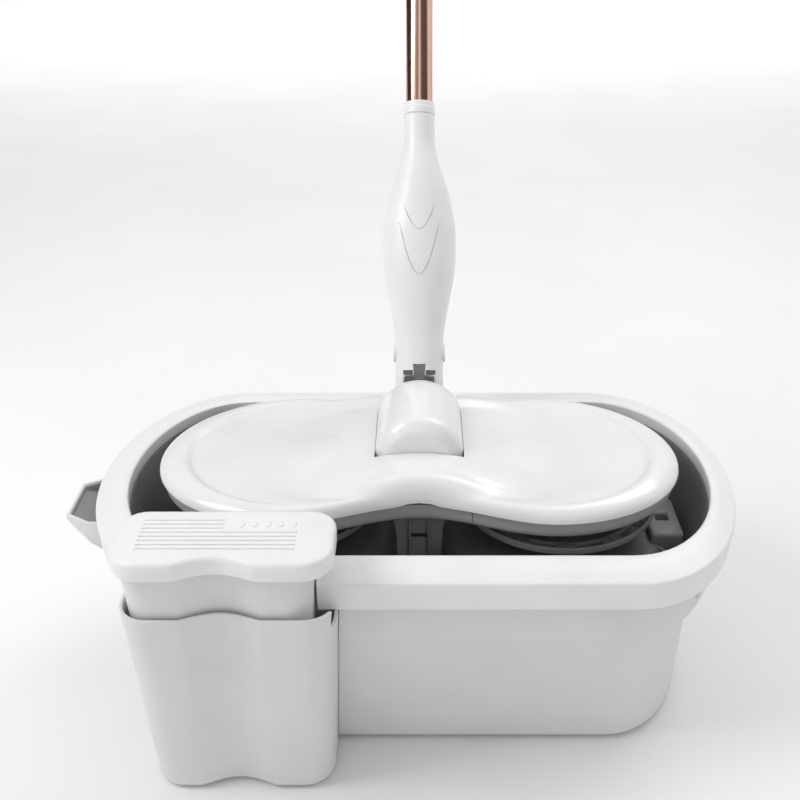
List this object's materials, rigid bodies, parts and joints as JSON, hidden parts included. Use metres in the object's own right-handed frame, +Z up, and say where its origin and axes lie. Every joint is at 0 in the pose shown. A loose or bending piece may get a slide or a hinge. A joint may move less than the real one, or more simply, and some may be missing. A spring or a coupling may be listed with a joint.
{
  "type": "spin mop",
  "caption": "Pedal-driven spin mop: a wide bucket with geared wringer baskets and a pouring spout, and a twin-disc mop head on a swivelling telescopic pole.",
  "frame": {"origin": "on the floor under the middle of the bucket, at the centre of the middle foot's face", "axes": "+Z up, +X to the right of a user facing the pedal side, +Y to the back, where the pole leans"},
  "size_m": [0.578, 0.6626, 1.0083],
  "materials": {
    "white": "glossy moulded white",
    "shell": "satin off-white moulding",
    "grey": "satin mid grey moulding",
    "dark": "dark grey moulding",
    "band": "satin light grey moulding",
    "rubber": "matt black rubber",
    "steel": "plain turned steel",
    "pole": "polished rose gold plated tube",
    "fibre": "grey looped microfibre"
  },
  "bodies": {
    "bucket": {"bucket_body": "shell", "top_ring": "white", "pedal_housing": "shell", "inner_liner": "grey", "ring_clip_front": "shell", "ring_clip_back": "shell", "ring_clip_left": "shell", "foot_1": "rubber", "foot_2": "rubber", "foot_3": "rubber", "foot_4": "rubber", "foot_5": "rubber", "drive_bush_front": "dark", "basket_bush_left": "dark", "basket_bush_right": "dark", "idler_axle": "steel"},
    "pedal": {"pedal_cap": "white", "pedal_sleeve": "shell", "pedal_rack": "dark", "return_spring": "steel"},
    "drive_shaft": {"drive_shaft": "steel", "rack_pinion": "dark", "crown_gear": "dark"},
    "clutch": {"clutch_gear": "dark", "clutch_ring": "steel"},
    "basket_left": {"basket_left": "grey", "basket_shaft_left": "steel", "basket_gear_left": "dark", "hub_nut_left": "white"},
    "basket_right": {"basket_right": "grey", "basket_shaft_right": "steel", "basket_gear_right": "dark", "hub_nut_right": "white"},
    "idler": {"idler_gear": "dark"},
    "mop_head": {"head_cover": "white", "head_base": "band", "head_screw_1": "steel", "head_screw_2": "steel", "head_screw_3": "steel", "head_screw_4": "steel", "roll_pin": "steel", "spindle_left": "steel", "spindle_right": "steel"},
    "disc_left": {"disc_left": "dark", "pad_left": "fibre"},
    "disc_right": {"disc_right": "dark", "pad_right": "fibre"},
    "swivel": {"swivel_block": "white", "knuckle": "dark"},
    "handle": {"tilt_pin": "steel", "bulb_front": "white", "bulb_back": "white", "collar": "white", "lower_pole": "pole"},
    "lock": {"lock_sleeve": "white"},
    "upper_pole": {"upper_pole": "pole", "grip": "white", "grip_plug": "white"}
  },
  "joints": [
    {"name": "pedal_press", "type": "slide", "parent": "bucket", "child": "pedal", "axis": [0, 0, -1], "range_m": [0, 0.022], "stiffness_N_per_m": 900, "springref_m": -0.03, "deforming": ["return_spring"]},
    {"name": "drive_spin", "type": "hinge", "parent": "bucket", "child": "drive_shaft", "pos_m": [-0.122, 0, 0.048], "axis": [0, -1, 0], "range_deg": [0, 127]},
    {"name": "clutch_spin", "type": "hinge", "parent": "bucket", "child": "clutch", "pos_m": [-0.122, 0, 0.073], "axis": [0, 0, -1], "range_deg": [0, 316]},
    {"name": "basket_left_spin", "type": "hinge", "parent": "bucket", "child": "basket_left", "pos_m": [-0.122, 0, 0.1], "axis": [0, 0, -1], "continuous": true},
    {"name": "basket_right_spin", "type": "hinge", "parent": "bucket", "child": "basket_right", "pos_m": [0.122, 0, 0.1], "axis": [0, 0, -1], "continuous": true},
    {"name": "idler_spin", "type": "hinge", "parent": "bucket", "child": "idler", "pos_m": [0, 0, 0.012], "axis": [0, 0, -1], "continuous": true},
    {"name": "mop_lift", "type": "slide", "parent": "bucket", "child": "mop_head", "axis": [0, 0, 1], "range_m": [0, 0.25]},
    {"name": "disc_left_spin", "type": "hinge", "parent": "mop_head", "child": "disc_left", "pos_m": [-0.122, 0, 0.188], "axis": [0, 0, -1], "continuous": true},
    {"name": "disc_right_spin", "type": "hinge", "parent": "mop_head", "child": "disc_right", "pos_m": [0.122, 0, 0.188], "axis": [0, 0, -1], "continuous": true},
    {"name": "block_roll", "type": "hinge", "parent": "mop_head", "child": "swivel", "pos_m": [0, 0.01, 0.221], "axis": [0, 1, 0], "range_deg": [-35, 35]},
    {"name": "pole_tilt", "type": "hinge", "parent": "swivel", "child": "handle", "pos_m": [0, 0.08, 0.272], "axis": [1, 0, 0], "range_deg": [-10.5, 65.5]},
    {"name": "pole_extend", "type": "slide", "parent": "handle", "child": "upper_pole", "axis": [0, 0.4617, 0.887], "range_m": [0, 0.25]},
    {"name": "lock_twist", "type": "hinge", "parent": "handle", "child": "lock", "pos_m": [0, 0.35243, 0.79534], "axis": [0, 0.4617, 0.887], "range_deg": [0, 90]}
  ],
  "couplings": [
    {"joint": "drive_spin", "follows": "pedal_press", "rad_per_m": 100},
    {"joint": "clutch_spin", "follows": "pedal_press", "rad_per_m": 250},
    {"joint": "basket_right_spin", "follows": "basket_left_spin", "ratio": 1},
    {"joint": "idler_spin", "follows": "basket_left_spin", "ratio": -0.69231}
  ]
}
